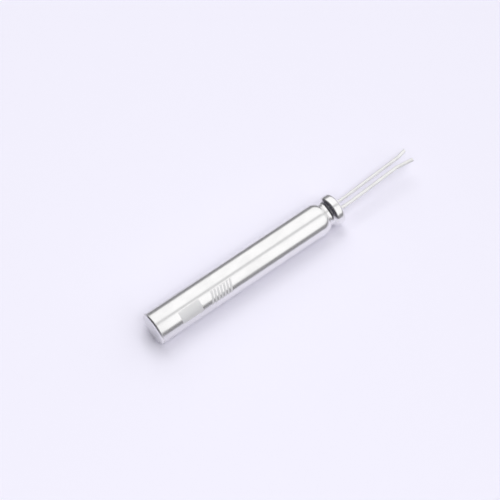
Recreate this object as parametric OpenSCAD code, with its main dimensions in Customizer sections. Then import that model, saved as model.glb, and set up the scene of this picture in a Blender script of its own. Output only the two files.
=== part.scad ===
// Radial-lead supercapacitor in a slim bare aluminium can, standing on its closed end.
// Millimetres. +Z runs up the can to the leads, and the origin is the centre of the closed end.
// The two leads stand side by side along X, with the negative one at +X.

/* [Can] */
// Outside diameter of the can
can_d = 4; // [4:0.1:6]
// Height from the closed end to the top of the curled rim
can_h = 26.5; // [22:0.1:32]
// Thickness of the drawn aluminium
can_wall = 0.2; // [0.15:0.01:0.22]
// Outside radius of the edge round the closed end
base_edge_r = 0.3; // [0.25:0.01:0.5]

/* [Crimp] */
// Height from the middle of the rolled groove to the top of the rim
groove_drop = 1.75; // [1.5:0.05:1.8]
// How far the groove is rolled into the wall
groove_depth = 0.5; // [0.3:0.02:0.5]
// Radius of the roller that forms the bottom of the groove
roller_r = 0.4; // [0.3:0.01:0.42]
// Outside bend radius of the long shoulder below the groove
lower_shoulder_r = 1.5; // [1:0.02:1.5]
// Outside bend radius of the short shoulder above the groove
upper_shoulder_r = 0.75; // [0.5:0.01:0.75]
// Outside diameter of the rim above the groove
rim_d = 3.9; // [3.8:0.02:4]
// Outside bend radius of the curl at the top of the rim
curl_r = 0.5; // [0.4:0.01:0.52]
// How far the curl turns down past level, in degrees
curl_dip = 20; // [5:1:25]

/* [Seal] */
// Height of the rubber bung
seal_h = 3.2; // [3.15:0.05:4]
// Chamfer round the bung's lower edge
seal_chamfer = 0.15; // [0.05:0.01:0.25]
// Clearance between the rubber and the metal that it grips
seal_gap = 0.01; // [0.005:0.001:0.02]

/* [Leads] */
// Distance between the two leads where they leave the seal
lead_pitch = 1.5; // [1.4:0.02:1.54]
// Diameter of the tinned wires
wire_d = 0.45; // [0.4:0.01:0.6]
// Developed length of the negative wire, from its weld to its tip
lead_len = 10.75; // [6:0.05:20]
// How much longer the positive wire is
positive_extra = 0.35; // [0:0.05:1]
// Straight length of the wires above their welds
root_run = 1.4; // [0.5:0.1:2]
// Angle at which both wires lean towards -Y
lean_angle = 3.6; // [1:0.1:6]
// Bend radius where the wires start to lean
lean_bend_r = 3; // [2:0.1:6]
// Straight length of the positive wire's splayed tip
positive_tip_run = 1.1; // [0.5:0.05:1.5]
// Straight length of the negative wire's splayed tip
negative_tip_run = 2.2; // [0.5:0.05:2.5]
// Angle by which the positive tip splays, straight away from the negative one
positive_splay = 15; // [5:1:22]
// Angle by which the negative tip splays
negative_splay = 11; // [5:1:22]
// Direction in which the negative tip splays, in degrees from +X towards +Y
negative_swing = 30; // [0:5:45]
// Bend radius where the tips splay
splay_bend_r = 1; // [0.6:0.05:1.5]

/* [Lugs] */
// Diameter of the aluminium stem that fills the hole in the seal
stem_d = 0.8; // [0.7:0.01:0.82]
// How far the stem stands proud of the seal
stem_proud = 0.08; // [0.02:0.01:0.2]
// Height of the butt weld between stem and wire
weld_h = 0.18; // [0.1:0.01:0.3]
// Widening of the weld over the wire
weld_flare = 0.12; // [0.05:0.01:0.2]
// Thickness of the flattened tab
tab_t = 0.15; // [0.1:0.01:0.18]
// Width of the flattened tab, measured straight across
tab_w = 0.95; // [0.7:0.01:1]
// Length of the tab below the top of the electrodes
tab_len = 12; // [6:0.5:18]
// Height over which the round stem is pressed down to the tab
spade_h = 0.6; // [0.4:0.02:0.7]

/* [Winding] */
// Diameter of the hole left by the winding mandrel
core_d = 0.6; // [0.5:0.02:0.8]
// Thickness of each electrode: a foil with active carbon on both faces
electrode_t = 0.1; // [0.08:0.01:0.13]
// Thickness of each separator
separator_t = 0.03; // [0.02:0.005:0.05]
// Thickness of the tape that holds the winding closed
tape_t = 0.05; // [0.03:0.005:0.08]
// Clearance between neighbouring plies
ply_gap = 0.01; // [0.006:0.001:0.015]
// Clearance between the winding and the wall of the can
winding_gap = 0.1; // [0.05:0.01:0.2]
// Height between the top of the winding and the bottom of the seal
head_room = 0.9; // [0.8:0.02:1.2]
// How far the separators overhang the electrodes at each end
overhang = 0.5; // [0.3:0.05:0.8]
// How far the tape stops short of the separators' edges
tape_margin = 1.2; // [0.8:0.1:2]

/* [Hidden] */

$fn = 64;
arc_steps = 8;       // points along each bend of the wall
winding_step = 10;   // degrees between the points of a ply

// The wall is worked out on its middle surface, which the bends turn about.
half_wall = can_wall / 2;
can_r = can_d / 2;
bore_r = can_r - can_wall;
base_mid_r = base_edge_r - half_wall;
lower_mid_r = lower_shoulder_r - half_wall;
upper_mid_r = upper_shoulder_r - half_wall;
roller_mid_r = roller_r + half_wall;
curl_mid_r = curl_r - half_wall;
groove_z = can_h - groove_drop;
rim_r = rim_d / 2;
rim_step = can_r - rim_r;

// A shoulder bend meets the groove bend on the line between their centres.
lower_span = lower_mid_r + roller_mid_r;
upper_span = upper_mid_r + roller_mid_r;
lower_turn = acos((lower_span - groove_depth) / lower_span);
upper_turn = acos((upper_span - groove_depth + rim_step) / upper_span);

base_centre = [can_r - base_edge_r, base_edge_r];
groove_centre = [can_r - half_wall - groove_depth + roller_mid_r, groove_z];
lower_shoulder = groove_centre - lower_span * [cos(lower_turn), sin(lower_turn)];
upper_shoulder = groove_centre - upper_span * [cos(upper_turn), -sin(upper_turn)];
curl_centre = [rim_r - curl_r, can_h - curl_r];

// The rubber reaches the inside of the wall, up to the edge of the curl.
seal_face = half_wall + seal_gap;
seal_top = curl_centre.y + (curl_mid_r - seal_face) * sin(90 + curl_dip);
seal_bottom = seal_top - seal_h;

// Each lug runs from the winding, through the seal, to the weld under its wire.
stem_top = seal_top + stem_proud;
weld_top = stem_top + weld_h;
winding_top = seal_bottom - head_room;
winding_bottom = can_wall;
electrode_top = winding_top - overhang;
electrode_bottom = winding_bottom + overhang;
electrode_h = electrode_top - electrode_bottom;
separator_h = winding_top - winding_bottom;
tape_h = separator_h - 2 * tape_margin;
spade_bottom = seal_bottom - (head_room + spade_h) / 2;
slice_h = 0.05;      // thickness of the two slices that a spade blends

// Four plies are wound together, and a full turn brings the first one back outside the last.
positive_off = separator_t + ply_gap;
outer_off = positive_off + electrode_t + ply_gap;
negative_off = outer_off + separator_t + ply_gap;
winding_pitch = negative_off + electrode_t + ply_gap;

// Each tab lies on the outside of its electrode's first turn, and the plies outside it bulge.
positive_turn = 180;
negative_turn = 0;
positive_tab_off = positive_off + electrode_t + ply_gap;
negative_tab_off = negative_off + electrode_t + ply_gap;
tab_r = core_d / 2 + negative_tab_off + tab_t / 2;
tab_half_turn = asin(tab_w / 2 / tab_r);
bulge_h = tab_t + ply_gap;
bulge_half_turn = tab_half_turn + winding_step;
bulge_ramp = 35;     // degrees over which a bulge dies away

// The winding starts just before the first tab, and its tape ends where the can is full.
electrode_start = -7 * winding_step;
separator_start = -15 * winding_step;
winding_room = bore_r - winding_gap - bulge_h - tape_t - core_d / 2;
tape_end = whole_step(360 * winding_room / winding_pitch);
tape_start = tape_end - 350;
separator_end = tape_start - winding_step;
electrode_end = separator_end - 60;

function whole_step(turn) = winding_step * floor(turn / winding_step);
function reversed(points) = [for (i = [len(points) - 1:-1:0]) points[i]];

// Points along an arc, with the first and last left out where skip is 1
function arc(centre, r, from, to, skip = 0) =
    [for (i = [skip:arc_steps - skip])
        let (turn = from + (to - from) * i / arc_steps)
        centre + r * [cos(turn), sin(turn)]];

// The face that lies inward of the wall's middle surface, or outward where inward is negative
function crimp_face(inward) = concat(
    arc(lower_shoulder, lower_mid_r - inward, 0, lower_turn),
    arc(groove_centre, roller_mid_r + inward, 180 + lower_turn, 180 - upper_turn, 1),
    arc(upper_shoulder, upper_mid_r - inward, -upper_turn, 0),
    arc(curl_centre, curl_mid_r - inward, 0, 90 + curl_dip));

function wall_face(inward) = concat(
    [[0, half_wall + inward]],
    arc(base_centre, base_mid_r - inward, -90, 0),
    crimp_face(inward));

// 1 over a tab, 0 well away from it, and a smooth ramp between
function bulge(away) =
    away <= bulge_half_turn ? 1 :
    away >= bulge_half_turn + bulge_ramp ? 0 :
    (1 + cos(180 * (away - bulge_half_turn) / bulge_ramp)) / 2;

// How far one tab lifts a ply: only the plies that pass outside it are lifted
function lift(turn, off, tab_turn, tab_off) =
    let (lap = round((turn - tab_turn) / 360))
    off + winding_pitch * lap > tab_off - ply_gap / 2
        ? bulge_h * bulge(abs(turn - tab_turn - 360 * lap)) : 0;

// A point on a ply, whose inner face starts at off, at so many degrees of winding
function ply_point(turn, off, depth) =
    let (r = core_d / 2 + off + depth + winding_pitch * turn / 360
             + lift(turn, off, positive_turn, positive_tab_off)
             + lift(turn, off, negative_turn, negative_tab_off))
    r * [cos(turn), sin(turn)];

module ply(off, thickness, from, to, bottom, height) {
    inner = [for (turn = [from:winding_step:to]) ply_point(turn, off, 0)];
    outer = [for (turn = [from:winding_step:to]) ply_point(turn, off, thickness)];
    translate([0, 0, bottom])
        linear_extrude(height)
            polygon(concat(outer, reversed(inner)));
}

// The tab's curved section, which follows the turn of foil that it is stitched to
module tab_section(tab_turn, tab_off) {
    inner_r = core_d / 2 + tab_off;
    turns = [for (i = [-arc_steps:2:arc_steps]) tab_half_turn * i / arc_steps];
    function edge(depth) =
        [for (turn = turns)
            (inner_r + depth + winding_pitch * (tab_turn + turn) / 360)
            * [cos(tab_turn + turn), sin(tab_turn + turn)]];
    polygon(concat(edge(tab_t), reversed(edge(0))));
}

module lug(side, tab_turn, tab_off) {
    stem_x = side * lead_pitch / 2;
    translate([0, 0, electrode_top - tab_len])
        linear_extrude(spade_bottom + slice_h - electrode_top + tab_len)
            tab_section(tab_turn, tab_off);
    hull() {
        translate([0, 0, spade_bottom])
            linear_extrude(slice_h)
                tab_section(tab_turn, tab_off);
        translate([stem_x, 0, spade_bottom + spade_h])
            cylinder(d = stem_d, h = slice_h, $fn = 32);
    }
    translate([stem_x, 0, spade_bottom + spade_h])
        cylinder(d = stem_d, h = stem_top - spade_bottom - spade_h);
    translate([stem_x, 0, stem_top])
        cylinder(d1 = stem_d, d2 = wire_d + weld_flare, h = weld_h);
}

// An arc of wire that starts upwards from the origin and bends towards +X
module wire_bend(bend_r, angle) {
    translate([bend_r, 0, 0])
        rotate([90, 0, 180])
            rotate_extrude(angle = angle)
                translate([bend_r, 0])
                    circle(d = wire_d);
}

// Places what follows a bend at its end
module after_bend(bend_r, angle) {
    translate([bend_r * (1 - cos(angle)), 0, bend_r * sin(angle)])
        rotate([0, angle, 0])
            children();
}

module lead(side, length, tip_run, splay_angle, swing = 0) {
    bend_len = PI / 180 * (lean_bend_r * lean_angle + splay_bend_r * splay_angle);
    lean_run = length - root_run - tip_run - bend_len;
    translate([side * lead_pitch / 2, 0, weld_top]) {
        cylinder(d = wire_d, h = root_run);
        translate([0, 0, root_run])
            rotate([0, 0, -90]) {
                wire_bend(lean_bend_r, lean_angle);
                after_bend(lean_bend_r, lean_angle) {
                    cylinder(d = wire_d, h = lean_run);
                    translate([0, 0, lean_run])
                        rotate([0, 0, 90 * side + swing]) {
                            wire_bend(splay_bend_r, splay_angle);
                            after_bend(splay_bend_r, splay_angle)
                                cylinder(d = wire_d, h = tip_run);
                        }
                }
            }
    }
}

// A deep-drawn cup, necked in by the groove and curled over the seal
module can() {
    color("silver")
        rotate_extrude()
            polygon(concat(wall_face(-half_wall), reversed(wall_face(half_wall))));
}

// A rubber bung, squeezed to a waist by the groove, with a hole for each stem
module seal() {
    bottom_r = bore_r - seal_gap;
    color("dimgray")
        difference() {
            rotate_extrude()
                polygon(concat(
                    [[0, seal_bottom],
                     [bottom_r - seal_chamfer, seal_bottom],
                     [bottom_r, seal_bottom + seal_chamfer]],
                    crimp_face(seal_face),
                    [[0, seal_top]]));
            for (side = [-1, 1])
                translate([side * lead_pitch / 2, 0, seal_bottom - seal_chamfer])
                    cylinder(d = stem_d + 2 * seal_gap, h = seal_h + 2 * seal_chamfer);
        }
}

module positive_lead() {
    color("gainsboro") lead(-1, lead_len + positive_extra, positive_tip_run, positive_splay);
}
module negative_lead() {
    color("gainsboro") lead(1, lead_len, negative_tip_run, negative_splay, negative_swing);
}
module positive_lug() { color("lightgray") lug(-1, positive_turn, positive_tab_off); }
module negative_lug() { color("lightgray") lug(1, negative_turn, negative_tab_off); }

module electrode(off) {
    ply(off, electrode_t, electrode_start, electrode_end, electrode_bottom, electrode_h);
}

module separator(off) {
    ply(off, separator_t, separator_start, separator_end, winding_bottom, separator_h);
}

module positive_electrode() { color([0.16, 0.16, 0.17]) electrode(positive_off); }
module negative_electrode() { color([0.22, 0.22, 0.23]) electrode(negative_off); }
module inner_separator() { color("ivory") separator(0); }
module outer_separator() { color("ivory") separator(outer_off); }

// One lap of tape over the last turn, on the track that the inner separator leaves free
module winding_tape() {
    color("khaki")
        ply(0, tape_t, tape_start, tape_end, winding_bottom + tape_margin, tape_h);
}

can();
seal();
positive_lead();
negative_lead();
positive_lug();
negative_lug();
positive_electrode();
negative_electrode();
inner_separator();
outer_separator();
winding_tape();
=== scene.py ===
"""A slim radial-lead supercapacitor in a bare aluminium can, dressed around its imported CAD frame.

Metres throughout. The part stands on its closed end: +Z runs up the can to the leads.
"""

import math

import bmesh
import bpy
import numpy as np
from mathutils import Matrix, Vector


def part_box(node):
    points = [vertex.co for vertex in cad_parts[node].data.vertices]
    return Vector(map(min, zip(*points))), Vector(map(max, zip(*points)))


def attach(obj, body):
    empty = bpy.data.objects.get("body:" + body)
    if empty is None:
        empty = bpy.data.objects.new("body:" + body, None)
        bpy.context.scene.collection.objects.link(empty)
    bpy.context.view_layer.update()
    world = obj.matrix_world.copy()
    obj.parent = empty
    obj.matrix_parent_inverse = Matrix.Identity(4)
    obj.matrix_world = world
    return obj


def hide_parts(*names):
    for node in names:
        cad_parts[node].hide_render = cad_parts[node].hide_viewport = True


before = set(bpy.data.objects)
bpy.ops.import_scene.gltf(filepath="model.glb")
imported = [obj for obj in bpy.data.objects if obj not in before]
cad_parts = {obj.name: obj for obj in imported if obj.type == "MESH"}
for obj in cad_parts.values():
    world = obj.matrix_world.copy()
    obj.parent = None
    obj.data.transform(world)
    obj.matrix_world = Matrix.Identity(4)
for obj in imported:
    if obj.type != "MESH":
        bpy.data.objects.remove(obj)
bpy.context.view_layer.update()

# ------------------------------------------------------------------------------------------------
# Can: a cup deep drawn from soft bright aluminium sheet, left bare, with a grey band and a group of
# plain strokes etched on its side by laser. A roller necks it in over the rubber seal, and its rim
# is then curled over the seal's edge.

MM = 0.001
TURN = 2 * math.pi

can_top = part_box("can")[1].z
can_r = 2.0 * MM
can_wall = 0.2 * MM
half_wall = can_wall / 2
base_edge_r = 0.3 * MM
groove_drop = 1.75 * MM
groove_z = can_top - groove_drop
groove_depth = 0.5 * MM
roller_mid_r = 0.4 * MM + half_wall
lower_mid_r = 1.5 * MM - half_wall
upper_mid_r = 0.75 * MM - half_wall
rim_r = 1.95 * MM
curl_mid_r = 0.5 * MM - half_wall
curl_dip = math.radians(20)
floor_steps, bend_steps, side_steps, curl_steps = 8, 18, 30, 26
can_spokes = 224

# A shoulder bend meets the groove bend on the line between their centres.
lower_span = lower_mid_r + roller_mid_r
upper_span = upper_mid_r + roller_mid_r
lower_turn = math.acos((lower_span - groove_depth) / lower_span)
upper_turn = math.acos((upper_span - groove_depth + can_r - rim_r) / upper_span)
base_centre = (can_r - base_edge_r, base_edge_r)
groove_centre = (can_r - half_wall - groove_depth + roller_mid_r, groove_z)
lower_shoulder = (groove_centre[0] - lower_span * math.cos(lower_turn),
                  groove_centre[1] - lower_span * math.sin(lower_turn))
upper_shoulder = (groove_centre[0] - upper_span * math.cos(upper_turn),
                  groove_centre[1] + upper_span * math.sin(upper_turn))
curl_centre = (rim_r - half_wall - curl_mid_r, can_top - half_wall - curl_mid_r)


def arc(centre, radius, start, stop, count=bend_steps):
    """Points (r, z) at equal angles on a circle: centre + radius * (cos angle, sin angle)."""
    angle = np.linspace(start, stop, count)
    return np.column_stack([centre[0] + radius * np.cos(angle), centre[1] + radius * np.sin(angle)])


def line(start, stop, count):
    """Points (r, z) at equal steps between two points, with both ends left out."""
    step = np.linspace(0, 1, count + 2)[1:-1, None]
    return np.asarray(start) * (1 - step) + np.asarray(stop) * step


def crimp_face(inward):
    """The necked and curled part of the wall, at a distance inward of its middle surface."""
    return np.vstack([
        arc(lower_shoulder, lower_mid_r - inward, 0, lower_turn),
        arc(groove_centre, roller_mid_r + inward, math.pi + lower_turn, math.pi - upper_turn)[1:-1],
        arc(upper_shoulder, upper_mid_r - inward, -upper_turn, 0),
        arc(curl_centre, curl_mid_r - inward, 0, math.pi / 2 + curl_dip, curl_steps)])


def wall_face(inward):
    """The whole wall from the centre of the closed end to the lip of the curl, on one face."""
    base = arc(base_centre, base_edge_r - half_wall - inward, -math.pi / 2, 0)
    crimp = crimp_face(inward)
    floor = line((0, half_wall + inward), base[0], floor_steps)
    side = line(base[-1], crimp[0], side_steps)
    return np.vstack([floor, base, side, crimp])


def revolve(profile, spokes):
    """A grid of points (r cos a, r sin a, z): a row for each (r, z), a column for each angle a."""
    angle = np.arange(spokes) * TURN / spokes
    r, z = profile[:, 0, None], profile[:, 1, None]
    return np.stack([r * np.cos(angle), r * np.sin(angle), z + 0 * angle], axis=-1)


def grid_faces(rows, columns, first=0):
    """Quads (i, j), (i, j + 1), (i + 1, j + 1), (i + 1, j) of a grid numbered by rows, where the
    first column follows the last."""
    i = np.arange(rows - 1)[:, None]
    j = np.arange(columns)[None, :]
    below, above = i * columns, (i + 1) * columns
    left, right = j, (j + 1) % columns
    return first + np.stack([below + left, below + right, above + right, above + left],
                            axis=-1).reshape(-1, 4)


def fan_faces(ring, hub, outward):
    """Triangles from a ring of point numbers to the point at its hub."""
    following = np.roll(ring, -1)
    corners = [following, ring] if outward else [ring, following]
    return np.stack([*corners, np.full(len(ring), hub)], axis=-1)


def add_piece(name, points, face_sets, crease=40):
    """A mesh object at the origin, smooth except at edges that bend more than crease degrees."""
    mesh = bpy.data.meshes.new(name)
    sizes = np.concatenate([np.full(len(faces), faces.shape[1]) for faces in face_sets])
    corners = np.concatenate([faces.ravel() for faces in face_sets])
    mesh.vertices.add(len(points))
    mesh.vertices.foreach_set("co", np.asarray(points, np.float32).ravel())
    mesh.loops.add(len(corners))
    mesh.loops.foreach_set("vertex_index", corners.astype(np.int32))
    mesh.polygons.add(len(sizes))
    mesh.polygons.foreach_set("loop_start", (np.cumsum(sizes) - sizes).astype(np.int32))
    mesh.polygons.foreach_set("loop_total", sizes.astype(np.int32))
    mesh.update(calc_edges=True)
    mesh.validate()
    mesh.shade_smooth()
    mesh.set_sharp_from_angle(angle=math.radians(crease))
    piece = bpy.data.objects.new(name, mesh)
    bpy.context.scene.collection.objects.link(piece)
    return piece


def add_tube(name, grid, crease=40):
    """Joins the rings of a grid into a tube and closes each end with a fan."""
    rows, columns = grid.shape[:2]
    hubs = np.stack([grid[0].mean(axis=0), grid[-1].mean(axis=0)])
    points = np.vstack([grid.reshape(-1, 3), hubs])
    first_ring = np.arange(columns)
    count = rows * columns
    return add_piece(name, points, [
        grid_faces(rows, columns),
        fan_faces(first_ring, count, outward=True),
        fan_faces(first_ring + count - columns, count + 1, outward=False)], crease)


class Field:
    """A socket that changes over a surface, so that shader maths can be written as Python."""

    def __init__(self, finish, socket):
        self.finish = finish
        self.socket = socket

    def math(self, operation, *others):
        inputs = dict(enumerate([self, *others]))
        return self.finish.node("ShaderNodeMath", inputs, operation=operation)

    def __add__(self, other):
        return self.math("ADD", other)

    def __mul__(self, other):
        return self.math("MULTIPLY", other)

    def __sub__(self, other):
        return self.math("SUBTRACT", other)

    def __rsub__(self, other):
        return self.finish.node("ShaderNodeMath", {0: other, 1: self}, operation="SUBTRACT")

    def __abs__(self):
        return self.math("ABSOLUTE")

    __radd__ = __add__
    __rmul__ = __mul__

    def most(self, other):
        return self.math("MAXIMUM", other)

    def power(self, other):
        return self.math("POWER", other)

    def ramp(self, low, high):
        """0 at low, 1 at high and a smooth step between; low may be the larger."""
        return self.finish.node("ShaderNodeMapRange", {
            "Value": self, "From Min": low, "From Max": high}, interpolation_type="SMOOTHSTEP")


class Finish:
    """A material whose shader is fed by fields, and whose nodes all come from one method."""

    def __init__(self, name, **constants):
        self.material = bpy.data.materials.new(name)
        self.material.use_nodes = True
        self.tree = self.material.node_tree
        self.shader = self.tree.nodes["Principled BSDF"]
        self.feed(**constants)

    def node(self, kind, inputs=(), output=0, **settings):
        """Adds a node, sets what it is first and its sockets after, and gives one output."""
        made = self.tree.nodes.new(kind)
        for key, value in settings.items():
            setattr(made, key, value)
        for key, value in dict(inputs).items():
            self.fill(made.inputs[key], value)
        return Field(self, made.outputs[output])

    def fill(self, socket, value):
        if isinstance(value, Field):
            self.tree.links.new(value.socket, socket)
        elif isinstance(value, tuple) and socket.type == "RGBA":
            socket.default_value = (*value, 1)
        else:
            socket.default_value = value

    def feed(self, **inputs):
        """Sets the shader's sockets; base_color stands for Base Color."""
        for key, value in inputs.items():
            name = key.replace("_", " ").title().replace("Ior", "IOR")
            self.fill(self.shader.inputs[name], value)

    def place(self):
        """The three object coordinates."""
        vector = self.node("ShaderNodeTexCoord", output="Object")
        split = self.node("ShaderNodeSeparateXYZ", {"Vector": vector}).socket.node
        return [Field(self, socket) for socket in split.outputs]

    def attribute(self, name):
        return self.node("ShaderNodeAttribute", output="Fac", attribute_name=name)

    def noise(self, scale, detail=2.0, roughness=0.5):
        """Noise from 0 to 1, with one scale for each axis, in cells per metre."""
        vector = self.node("ShaderNodeTexCoord", output="Object")
        placed = self.node("ShaderNodeMapping", {"Vector": vector, "Scale": scale})
        return self.node("ShaderNodeTexNoise", {
            "Vector": placed, "Scale": 1.0, "Detail": detail, "Roughness": roughness})

    def mix(self, factor, first, second):
        """A colour that goes from first to second as factor goes from 0 to 1. A Mix node's colours
        are its inputs 6 and 7 and its output 2."""
        return self.node("ShaderNodeMix", {0: factor, 6: first, 7: second}, output=2,
                         data_type="RGBA")

    def bump(self, height, distance, strength):
        """Height runs from 0 to 1 over the distance, in metres."""
        self.feed(normal=self.node("ShaderNodeBump", {
            "Height": height, "Distance": distance, "Strength": strength}))


def dress(piece, finish, slot, *nodes):
    """Gives a piece its finish and rides it on the body, in place of CAD nodes where it has any."""
    piece.data.materials.append(finish.material)
    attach(piece, "root")
    if nodes:
        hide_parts(*nodes)


def box_mask(across, along, centre, half, soft):
    """1 inside a rectangle and 0 outside it, with edges that fade over soft."""
    return (abs(across - centre[0]).ramp(half[0] + soft / 2, half[0] - soft / 2)
            * abs(along - centre[1]).ramp(half[1] + soft / 2, half[1] - soft / 2))


can_profile = np.vstack([wall_face(-half_wall), wall_face(half_wall)[::-1]])
can = add_tube("drawn_can", revolve(can_profile, can_spokes))

bright = Finish("bright_drawn_aluminium", metallic=1.0)
x, y, z = bright.place()
radius = (x * x + y * y).power(0.5)
around = y.math("ARCTAN2", x) * can_r
drawing = bright.noise((9000, 9000, 160), detail=3)
handling = bright.noise((700, 700, 420), detail=4)
rolled = bright.noise((500, 500, 9000), detail=2)
near_groove = abs(z - groove_z).ramp(1.0 * MM, 0.4 * MM)
end_face = z.ramp(0.06 * MM, 0.0) * radius.ramp(1.9 * MM, 1.7 * MM)
scuffed_edge = z.ramp(0.45 * MM, 0.2 * MM)

# A plain band and a group of slanted strokes, side by side along the can. They lie well away from
# the seam of the angle, where around jumps from +pi r to -pi r.
mark_around, mark_half, mark_soft = -0.35 * MM, 0.8 * MM, 0.05 * MM
band_z, band_half = 4.54 * MM, 1.43 * MM
group_z, group_half = 8.81 * MM, 1.51 * MM
stroke_pitch, stroke_slant = 0.43 * MM, 0.3
stroke_outer, stroke_inner = 0.38, 0.28
etch_strength = 0.75
band = box_mask(around, z, (mark_around, band_z), (mark_half, band_half), mark_soft)
slanted = z + (around - mark_around) * stroke_slant
group = box_mask(around, slanted, (mark_around, group_z), (mark_half, group_half), mark_soft)
from_stroke = abs((slanted * (1 / stroke_pitch)).math("FRACT") - 0.5)
strokes = group * from_stroke.ramp(stroke_outer, stroke_inner)
etched = band.most(strokes) * etch_strength
etched_grit = etched * bright.noise((30000,) * 3)

clean_metal, handled_metal = (0.915, 0.908, 0.912), (0.87, 0.863, 0.868)
end_metal, etched_grey = (0.80, 0.80, 0.81), (0.74, 0.74, 0.75)
drawn_roughness, etched_roughness = 0.19, 0.62
metal = bright.mix(handling.ramp(0.35, 0.75), clean_metal, handled_metal)
dulled = bright.mix(end_face, metal, end_metal)
worn = 0.05 * drawing + 0.05 * handling.ramp(0.4, 0.8) + 0.03 * near_groove + 0.16 * scuffed_edge
bright.feed(base_color=bright.mix(etched, dulled, etched_grey),
            metallic=1 - etched,
            roughness=(drawn_roughness + worn).most(etched * etched_roughness))
bright.bump(drawing * 0.5 + near_groove * rolled * 0.2 + etched_grit, 0.004 * MM, 0.3)
dress(can, bright, "can_aluminium", "can")

# ------------------------------------------------------------------------------------------------
# Seal: a moulded rubber bung with a hole for each stem and a raised lip round each hole. The can's
# groove grips its waist and the curl bites into its top edge.

lead_pitch = 1.5 * MM
stem_r = 0.4 * MM
seal_gap = 0.01 * MM
seal_chamfer = 0.15 * MM
seal_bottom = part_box("seal")[0].z
seal_rim_r = curl_mid_r - half_wall - seal_gap
seal_top = curl_centre[1] + seal_rim_r * math.cos(curl_dip)
bottom_r = can_r - can_wall - seal_gap
hole_r = stem_r + seal_gap
seal_spokes, bore_steps = 96, 12

# The moulded top: heights and widths of its lip, ring and crown. The ring's place and spread and
# the fade at the edge are shares of how far the mould's detail reaches from the axis.
top_reach, top_fade = 1.35 * MM, 0.06
lip_height, lip_out, lip_spread = 0.045 * MM, 0.07 * MM, 0.045 * MM
ring_depth, ring_place, ring_spread = 0.03 * MM, 0.86, 0.05
crown_height = 0.03 * MM


def half_disc_edge(disc_r, round_count=49, flat_count=25):
    """The closed outline of the half disc x > 0: a half circle, and then the line x = 0 back."""
    angle = np.linspace(-math.pi / 2, math.pi / 2, round_count)
    flat = np.linspace(disc_r, -disc_r, flat_count)[1:-1]
    return np.vstack([np.column_stack([disc_r * np.cos(angle), disc_r * np.sin(angle)]),
                      np.column_stack([0 * flat, flat])])


def holed_face(side, disc_r, height, count=22, crowding=1.4):
    """Half of a disc with a hole in it: points go from the hole's edge straight to the outline,
    closer together by the hole, and the height of each is a function of where it is."""
    edge = half_disc_edge(disc_r)
    spoke = edge - (lead_pitch / 2, 0)
    rim = (lead_pitch / 2, 0) + hole_r * spoke / np.linalg.norm(spoke, axis=1, keepdims=True)
    out = (np.linspace(0, 1, count) ** crowding)[:, None, None]
    flat = rim * (1 - out) + edge * out
    return np.dstack([side * flat[..., 0], flat[..., 1], height(flat[..., 0], flat[..., 1])])


def moulded_top(px, py):
    """A lip round the hole and a shallow ring inside the curl, both bell curves of the distance,
    on a low crown that falls with the square of the distance from the axis."""
    from_hole = np.hypot(px - lead_pitch / 2, py) - stem_r
    from_axis = np.hypot(px, py) / top_reach
    lip = lip_height * np.exp(-((from_hole - lip_out) / lip_spread) ** 2)
    ring = -ring_depth * np.exp(-((from_axis - ring_place) / ring_spread) ** 2)
    crown = crown_height * np.clip(1 - from_axis ** 2, 0, 1)
    return seal_top + (lip + ring + crown) * np.clip((1 - from_axis) / top_fade, 0, 1)


def flat_bottom(px, py):
    return seal_bottom + 0 * px


def weld_grids(name, grids, crease=40, merge=0.0005 * MM):
    """Joins grids of points that share their edges into one closed mesh that faces outwards."""
    points, faces, first = [], [], 0
    for grid in grids:
        points.append(grid.reshape(-1, 3))
        faces.append(grid_faces(*grid.shape[:2], first=first))
        first += len(points[-1])
    piece = add_piece(name, np.vstack(points), faces, crease)
    shape = bmesh.new()
    shape.from_mesh(piece.data)
    bmesh.ops.remove_doubles(shape, verts=shape.verts, dist=merge)
    bmesh.ops.recalc_face_normals(shape, faces=shape.faces)
    shape.to_mesh(piece.data)
    shape.free()
    piece.data.shade_smooth()
    piece.data.set_sharp_from_angle(angle=math.radians(crease))
    return piece


seal_side = np.vstack([
    [(bottom_r - seal_chamfer, seal_bottom), (bottom_r, seal_bottom + seal_chamfer)],
    crimp_face(half_wall + seal_gap)])
seal_grids = [revolve(seal_side, seal_spokes)]
bore_mix = np.linspace(0, 1, bore_steps)[:, None, None]
for side in (-1, 1):
    upper = holed_face(side, seal_side[-1, 0], moulded_top)
    lower = holed_face(side, seal_side[0, 0], flat_bottom)
    bore = lower[0] * (1 - bore_mix) + upper[0] * bore_mix
    seal_grids += [upper, lower, bore]
seal = weld_grids("rubber_bung", seal_grids)

rubber = Finish("moulded_rubber")
grain = rubber.noise((9000,) * 3, detail=4)
bloom = rubber.noise((900,) * 3, detail=3).ramp(0.5, 0.75)
clean_rubber, bloomed_rubber = (0.022, 0.022, 0.023), (0.045, 0.045, 0.046)
rubber.feed(base_color=rubber.mix(bloom, clean_rubber, bloomed_rubber),
            roughness=0.5 + 0.25 * grain)
rubber.bump(grain, 0.006 * MM, 0.6)
dress(seal, rubber, "seal_rubber", "seal")

# ------------------------------------------------------------------------------------------------
# Lugs: aluminium wire, left round where it passes through the seal and pressed flat into a tab
# below it. Each is butt-welded to its lead, which leaves a small uneven collar on the stem.

satin = Finish("satin_aluminium", metallic=1.0)
drawn = satin.noise((12000, 12000, 500), detail=3)
patches = satin.noise((1500,) * 3, detail=3)
dull_stem, bright_stem = (0.72, 0.72, 0.73), (0.82, 0.82, 0.83)
satin.feed(base_color=satin.mix(patches, dull_stem, bright_stem), roughness=0.3 + 0.2 * drawn)
satin.bump(drawn, 0.004 * MM, 0.5)


def refinish(node, finish):
    """Gives a CAD node that is shown as it is its finish."""
    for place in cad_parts[node].material_slots:
        place.material = finish.material


refinish("positive_lug", satin)
refinish("negative_lug", satin)

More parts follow.
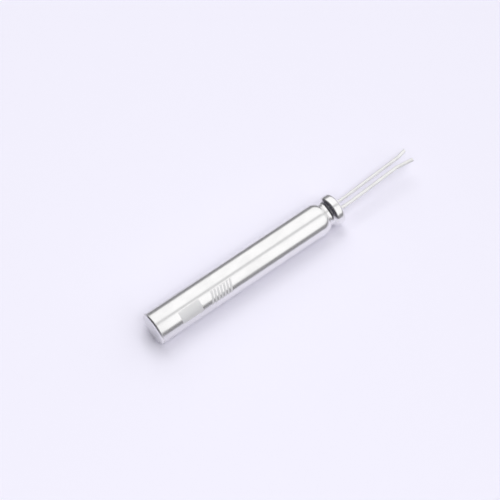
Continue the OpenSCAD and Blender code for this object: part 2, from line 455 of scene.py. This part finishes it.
stem_proud = 0.08 * MM
weld_h = 0.18 * MM
stem_top = seal_top + stem_proud
weld_top = stem_top + weld_h
wire_r = 0.225 * MM
collar_spokes = 48

# Radius and height of the collar's outline, from inside the stem to inside the wire, in mm.
collar_outline = np.array([
    (0.30, -0.03), (0.402, -0.03), (0.408, -0.01), (0.425, 0.03), (0.43, 0.06), (0.415, 0.10),
    (0.36, 0.135), (0.325, 0.16), (0.30, 0.185), (0.262, 0.205), (0.24, 0.225), (0.229, 0.26),
    (0.20, 0.262)])

# The sines that swell the collar: waves in a turn, share of the radius, and shift in radians.
collar_waves = ((2, 0.022, 1), (5, 0.014, 2), (9, 0.008, 0))


def uneven_collar(side):
    """The outline turned about the lead, with a radius that swells by a few sines of the angle and
    runs back to the plain outline at both ends."""
    grid = revolve(collar_outline * MM, collar_spokes)
    angle = np.arange(collar_spokes) * TURN / collar_spokes
    along = np.linspace(0, math.pi, len(collar_outline))[:, None]
    swell = np.sin(along) * sum(share * np.sin(waves * angle + shift * side)
                                for waves, share, shift in collar_waves)
    grid[..., :2] *= (1 + swell)[..., None]
    return grid + (side * lead_pitch / 2, 0, stem_top)


welded = Finish("welded_collar", metallic=1.0)
spatter = welded.noise((14000,) * 3, detail=4)
burnt_weld, clean_weld = (0.55, 0.55, 0.55), (0.80, 0.80, 0.80)
welded.feed(base_color=welded.mix(spatter.ramp(0.4, 0.65), burnt_weld, clean_weld),
            roughness=0.32 + 0.3 * spatter)
welded.bump(spatter, 0.012 * MM, 0.7)
for name, side in (("positive_weld", -1), ("negative_weld", 1)):
    dress(add_tube(name, uneven_collar(side), crease=60), welded, "lug_aluminium")

# ------------------------------------------------------------------------------------------------
# Leads: two tinned wires of copper-clad steel. Each rises straight from its weld, both lean the
# same way, and each tip is bent aside. The cutter leaves a slanted end that bares the core.

root_run = 1.4 * MM
lean_turn, lean_r = math.radians(3.6), 3.0 * MM
splay_r = 1.0 * MM
tip_edge_r = 0.035 * MM
wire_steps, tip_steps = 170, 14
wire_spokes = 36
tip_zone, tip_step = 0.3 * MM, 0.01 * MM

# The cut face: how steeply it slants, which way, and over how many edge radii the slant begins.
cut_slant, cut_turn, cut_reach = 0.22, 0.3, 9

# Rings on the cut face, as shares of its radius.
cut_rings = np.array([0.8, 0.55, 0.3])


def swept_lead(side, lead_length, tip_run, splay_turn, swing):
    """A circle carried along a path whose direction leans towards -Y and then turns towards its own
    side, swung that much towards +Y: the path is the running sum of its directions, and the circle
    stays square to them."""
    run = np.concatenate([
        np.linspace(0, lead_length - tip_zone, wire_steps),
        np.linspace(lead_length - tip_zone + tip_step, lead_length, tip_steps)])
    lean = np.clip((run - root_run) / lean_r, 0, lean_turn)
    splay_start = lead_length - tip_run - splay_r * splay_turn
    splay = np.clip((run - splay_start) / splay_r, 0, splay_turn)
    upright = np.stack([0 * lean, -np.sin(lean), np.cos(lean)], axis=1)
    level = np.stack([0 * lean, np.cos(lean), np.sin(lean)], axis=1)
    beside = math.cos(swing) * np.array([side, 0, 0]) + math.sin(swing) * level
    ahead = np.cos(splay)[:, None] * upright + np.sin(splay)[:, None] * beside
    steps = (ahead[1:] + ahead[:-1]) / 2 * np.diff(run)[:, None]
    path = np.vstack([[0, 0, 0], np.cumsum(steps, axis=0)]) + (side * lead_pitch / 2, 0, weld_top)
    across = np.cos(splay)[:, None] * beside - np.sin(splay)[:, None] * upright
    square = np.cross(ahead, across)

    to_tip = (lead_length - run) / tip_edge_r
    round_off = np.sqrt(np.clip(1 - np.clip(1 - to_tip, 0, 1) ** 2, 0, 1))
    size = wire_r - tip_edge_r * (1 - round_off)
    sizes = np.concatenate([size, size[-1] * cut_rings])
    centres, across, square, ahead = (
        np.vstack([rows, np.repeat(rows[-1:], len(cut_rings), axis=0)])[:, None]
        for rows in (path, across, square, ahead))
    at_cut = np.ones(len(cut_rings))
    near_tip = np.concatenate([np.clip(1 - to_tip / cut_reach, 0, 1) ** 2, at_cut])

    angle = np.arange(wire_spokes) * TURN / wire_spokes
    reach_x = sizes[:, None] * np.cos(angle)
    reach_y = sizes[:, None] * np.sin(angle)
    slide = cut_slant * near_tip[:, None] * (reach_x * cut_turn + reach_y)
    grid = (centres + reach_x[..., None] * across + reach_y[..., None] * square
            + slide[..., None] * ahead)
    share_run = np.concatenate([run / lead_length, at_cut])
    share_out = np.concatenate([np.ones(len(run)), cut_rings])
    return grid, share_run, share_out


tinned = Finish("tinned_wire", metallic=1.0)
run_along = tinned.attribute("run")
depth_out = tinned.attribute("bared")
streak = tinned.noise((9000, 9000, 700), detail=3)
cloud = tinned.noise((1800, 1800, 900), detail=3)
fresh_tin, dull_tin = (0.96, 0.955, 0.95), (0.91, 0.905, 0.895)
steel_core, copper_clad = (0.52, 0.50, 0.49), (0.80, 0.47, 0.33)
tin = tinned.mix(cloud.ramp(0.3, 0.7), fresh_tin, dull_tin)
near_weld = run_along.ramp(0.06, 0.0)
cut_face = run_along.ramp(0.9985, 0.9995)
core = tinned.mix(depth_out.ramp(0.78, 0.86), steel_core, copper_clad)
tinned.feed(
    base_color=tinned.mix(cut_face * depth_out.ramp(0.97, 0.93), tin, core),
    roughness=0.33 + 0.08 * streak + 0.1 * cloud + 0.15 * near_weld + 0.1 * cut_face)
tinned.bump(streak * 0.6 + cloud * 0.4, 0.005 * MM, 0.4)

# Side, length and straight tip in mm, splay and swing of the tip in degrees. The last number of
# each attribute is its value at the middle of the cut face.
for name, node, side, length, tip, splay, swing in (
        ("positive_wire", "positive_lead", -1, 11.1, 1.1, 15, 0),
        ("negative_wire", "negative_lead", 1, 10.75, 2.2, 11, 30)):
    grid, share_run, share_out = swept_lead(
        side, length * MM, tip * MM, math.radians(splay), math.radians(swing))
    wire = add_tube(name, grid)
    for label, rings, middle in (("run", share_run, 1), ("bared", share_out, 0)):
        values = np.concatenate([np.repeat(rings, wire_spokes), [rings[0], middle]])
        layer = wire.data.attributes.new(label, "FLOAT", "POINT")
        layer.data.foreach_set("value", values.astype(np.float32))
    dress(wire, tinned, "tinned_wire", node)

# ------------------------------------------------------------------------------------------------
# Winding: two aluminium foils coated with active carbon and two strips of soft white paper, wound
# together on a mandrel. One lap of amber film holds the roll closed inside the can.

carbon = Finish("carbon_coated_foil")
grit = carbon.noise((26000,) * 3, detail=4)
coat = carbon.noise((1200,) * 3, detail=3)
thick_coat, thin_coat = (0.017, 0.017, 0.018), (0.032, 0.032, 0.034)
carbon.feed(base_color=carbon.mix(coat, thick_coat, thin_coat), roughness=0.7 + 0.2 * grit)
carbon.bump(grit, 0.006 * MM, 0.7)
refinish("positive_electrode", carbon)
refinish("negative_electrode", carbon)

pulp = Finish("separator_paper")
fibre = pulp.noise((7000, 7000, 2500), detail=5, roughness=0.65)
dark_pulp, pale_pulp = (0.80, 0.78, 0.72), (0.90, 0.885, 0.84)
pulp.feed(base_color=pulp.mix(fibre, dark_pulp, pale_pulp), roughness=0.8 + 0.12 * fibre)
pulp.bump(fibre, 0.008 * MM, 0.6)
refinish("inner_separator", pulp)
refinish("outer_separator", pulp)

film = Finish("amber_film")
ripple = film.noise((1500, 1500, 300), detail=2)
deep_amber, pale_amber = (0.66, 0.44, 0.12), (0.74, 0.53, 0.18)
film.feed(base_color=film.mix(ripple, deep_amber, pale_amber), roughness=0.18 + 0.15 * ripple)
film.bump(ripple, 0.01 * MM, 0.3)
refinish("winding_tape", film)

# ------------------------------------------------------------------------------------------------
# Setting: a pale lilac sheet that the can lies against, and two soft panels over it. The part
# keeps its own upright frame, so the sheet is an upright plane along the can, seen from its front.

sheet_azimuth = math.radians(-55.2)
sheet_normal = Vector((math.cos(sheet_azimuth), math.sin(sheet_azimuth), 0))
upward = Vector((0, 0, 1))
across_sheet = sheet_normal.cross(upward)
lilac = (0.905, 0.886, 1.0)
# A darker lilac: a painted shade that only bright metal's mirror image of the sheet shows.
painted_shade_lilac = (0.742, 0.727, 0.82)

# Reach of the sheet to the right of the can and to its left, and below and above its closed end.
sheet_right, sheet_left, sheet_low, sheet_high = 43 * MM, 56 * MM, -35 * MM, 70 * MM
sheet_corners = [-sheet_normal * can_r + across_sheet * i + upward * j
                 for i, j in ((-sheet_right, sheet_low), (sheet_left, sheet_low),
                              (sheet_left, sheet_high), (-sheet_right, sheet_high))]
floor_half = 500 * MM
floor_drop = 0.005 * MM
floor_corners = [(i * floor_half, j * floor_half, -floor_drop)
                 for i, j in ((-1, -1), (1, -1), (1, 1), (-1, 1))]

# The sheet's mirror image carries a painted shade from mirror_dim on, and stops at mirror_reach
# to either side. The painted shade is deepest up to end_zone[0] above the closed end, and keeps
# dim_share of that past end_zone[1].
mirror_dim, mirror_reach, reach_soft = 7 * MM, 12 * MM, 2 * MM
end_zone, end_soft = (6 * MM, 12 * MM), 0.5 * MM
dim_share = 0.33


def one_sided(name, corners, camera_only):
    """A flat pale sheet that is clear from behind. It is clear to all but the camera if asked, and
    otherwise bright metal mirrors it with a painted shade that darkens it away from the can, most
    of all by the closed end, and the mirror image stops a little way off."""
    flat = add_piece(name, np.array([tuple(corner) for corner in corners]),
                     [np.array([[0, 1, 2, 3]])])
    pale = Finish(name + "_paper", base_color=lilac, roughness=0.95, specular_ior_level=0.1)
    hidden = pale.node("ShaderNodeNewGeometry", output="Backfacing")
    if camera_only:
        hidden = hidden.most(1 - pale.node("ShaderNodeLightPath", output="Is Camera Ray"))
    else:
        x, y, z = pale.place()
        aside = abs(x * across_sheet.x + y * across_sheet.y)
        mirrored = pale.node("ShaderNodeLightPath", output="Is Glossy Ray")
        near_end = dim_share + (1 - dim_share) * z.ramp(end_zone[1], end_zone[0])
        painted_mirror_shade = aside.ramp(0, mirror_dim) * z.ramp(-end_soft, end_soft) * near_end
        # Painted shade: where bright metal mirrors the sheet, its lilac turns darker.
        pale.feed(base_color=pale.mix(mirrored * painted_mirror_shade, lilac, painted_shade_lilac))
        far = aside.ramp(mirror_reach - reach_soft, mirror_reach + reach_soft)
        hidden = hidden.most(far * mirrored)
    clear = pale.node("ShaderNodeBsdfTransparent")
    shown = pale.node("ShaderNodeMixShader", {
        0: hidden, 1: Field(pale, pale.shader.outputs[0]), 2: clear})
    pale.fill(pale.tree.nodes["Material Output"].inputs["Surface"], shown)
    flat.data.materials.append(pale.material)
    return flat


pale_sheet = one_sided("pale_sheet", sheet_corners, camera_only=False)
if pale_sheet.data.polygons[0].normal.dot(sheet_normal) < 0:
    pale_sheet.data.flip_normals()
one_sided("pale_floor", floor_corners, camera_only=True)

# Each panel is a rectangle that spans two angles over the can and two along it, in degrees, and
# its level is what a white surface that faced a whole sky of it would show.
lamp_distance = 300 * MM
lamp_middle_z = 13 * MM
side_ray = -across_sheet
for name, start, stop, low, high, level in (("right_panel", 54, 78, -29, 6, 3.25),
                                            ("left_panel", 100, 130, -4, 26, 2.15)):
    middle, spread = math.radians((start + stop) / 2), math.radians(stop - start) / 2
    ray = side_ray * math.cos(middle) + sheet_normal * math.sin(middle)
    lower, upper = (lamp_distance * math.tan(math.radians(v)) for v in (low, high))
    lamp = bpy.data.lights.new(name, "AREA")
    lamp.shape = "RECTANGLE"
    lamp.size = 2 * lamp_distance * math.tan(spread)
    lamp.size_y = upper - lower
    lamp.energy = level * math.pi * lamp.size * lamp.size_y
    panel = bpy.data.objects.new(name, lamp)
    place = ray * lamp_distance + upward * (lamp_middle_z + (lower + upper) / 2)
    facing = Matrix((upward.cross(ray), upward, ray)).transposed().to_quaternion()
    panel.matrix_world = Matrix.LocRotScale(place, facing, None)
    panel.visible_camera = False
    panel.visible_glossy = False
    bpy.context.scene.collection.objects.link(panel)

world = bpy.data.worlds.new("pale_room")
bpy.context.scene.world = world
world.use_nodes = True


class Room(Finish):
    """The world's nodes, made as a finish's are."""

    def __init__(self, world):
        self.tree = world.node_tree
        self.shader = self.tree.nodes["Background"]


room = Room(world)
room_ray = room.node("ShaderNodeTexCoord", output="Generated")


def toward(direction):
    """How far a ray points along a direction: the dot product of the two."""
    return room.node("ShaderNodeVectorMath", {0: room_ray, 1: tuple(direction)}, output="Value",
                     operation="DOT_PRODUCT")


over = toward(sheet_normal).math("ARCTAN2", toward(side_ray))
rise = toward(upward)


def span(start, stop, soft=3.0):
    """1 between two angles over the can, in degrees, and 0 outside them."""
    start, stop, soft = map(math.radians, (start, stop, soft))
    return over.ramp(start - soft, start + soft) * over.ramp(stop + soft, stop - soft)


# Bright metal mirrors the two panels with a grey gap between them, a pale wall behind the sheet,
# and dark beyond and below.
right_view, left_view = span(11, 77, 6), span(87, 166, 6)
gap_view = span(60, 105) * 0.55
wall_view = span(-80, -20).most(span(-160, -100))
corner_grey = 0.2
views = right_view.most(left_view).most(gap_view).most(wall_view).most(corner_grey)
overhead = 1 - 0.25 * rise.ramp(0.8, 0.95)
dark_room, white_panel = (0.052, 0.05, 0.062), (1.08, 1.08, 1.08)
mirrored = room.mix(views * rise.ramp(-0.3, -0.1) * overhead, dark_room, white_panel)

# Dull surfaces are lit by an open sky over the sheet, brightest a little way towards the leads.
sky_low = 0.12
sky_band = rise.ramp(-0.15, 0.15) * (1 - 0.67 * rise.ramp(0.45, 0.65))
open_sky = span(28, 156, 8) * (sky_low + (1 - sky_low) * sky_band)
no_light, sky_light = (0, 0, 0), (1.5, 1.5, 1.5)
fill = room.mix(open_sky, no_light, sky_light)

camera_ray = room.node("ShaderNodeLightPath", output="Is Camera Ray")
clear_ray = room.node("ShaderNodeLightPath", output="Is Transmission Ray")
glossy_ray = room.node("ShaderNodeLightPath", output="Is Glossy Ray")
ambient = room.mix(glossy_ray, fill, mirrored)
room.feed(color=room.mix(camera_ray.most(clear_ray), ambient, lilac))

# ------------------------------------------------------------------------------------------------
# Camera: a long lens over the sheet, tilted down at it and turned so that the can runs up to the
# right. The frame is square and view_width wide where the lens is aimed.

camera_tilt = math.radians(63)
camera_swing = math.radians(36.7)
lens_mm, sensor_mm = 150, 36
view_width = 57.6 * MM
picture_right = upward * math.cos(camera_swing) - across_sheet * math.sin(camera_swing)
picture_far = upward * math.sin(camera_swing) + across_sheet * math.cos(camera_swing)
picture_up = picture_far * math.sin(camera_tilt) + sheet_normal * math.cos(camera_tilt)
look = picture_far * math.cos(camera_tilt) - sheet_normal * math.sin(camera_tilt)
aim_right, aim_up, aim_deep = 11.09 * MM, 9.06 * MM, 3.6 * MM
aim = picture_right * aim_right + picture_up * aim_up + look * aim_deep
camera_distance = view_width * lens_mm / sensor_mm

lens = bpy.data.cameras.new("camera")
lens.lens = lens_mm
lens.sensor_width = sensor_mm
lens.clip_start = 10 * MM
lens.clip_end = 5000 * MM
camera = bpy.data.objects.new("camera", lens)
camera.matrix_world = Matrix.LocRotScale(
    aim - look * camera_distance,
    Matrix((picture_right, picture_up, -look)).transposed().to_quaternion(), None)
bpy.context.scene.collection.objects.link(camera)
bpy.context.scene.camera = camera
bpy.context.scene.view_settings.view_transform = "Standard"
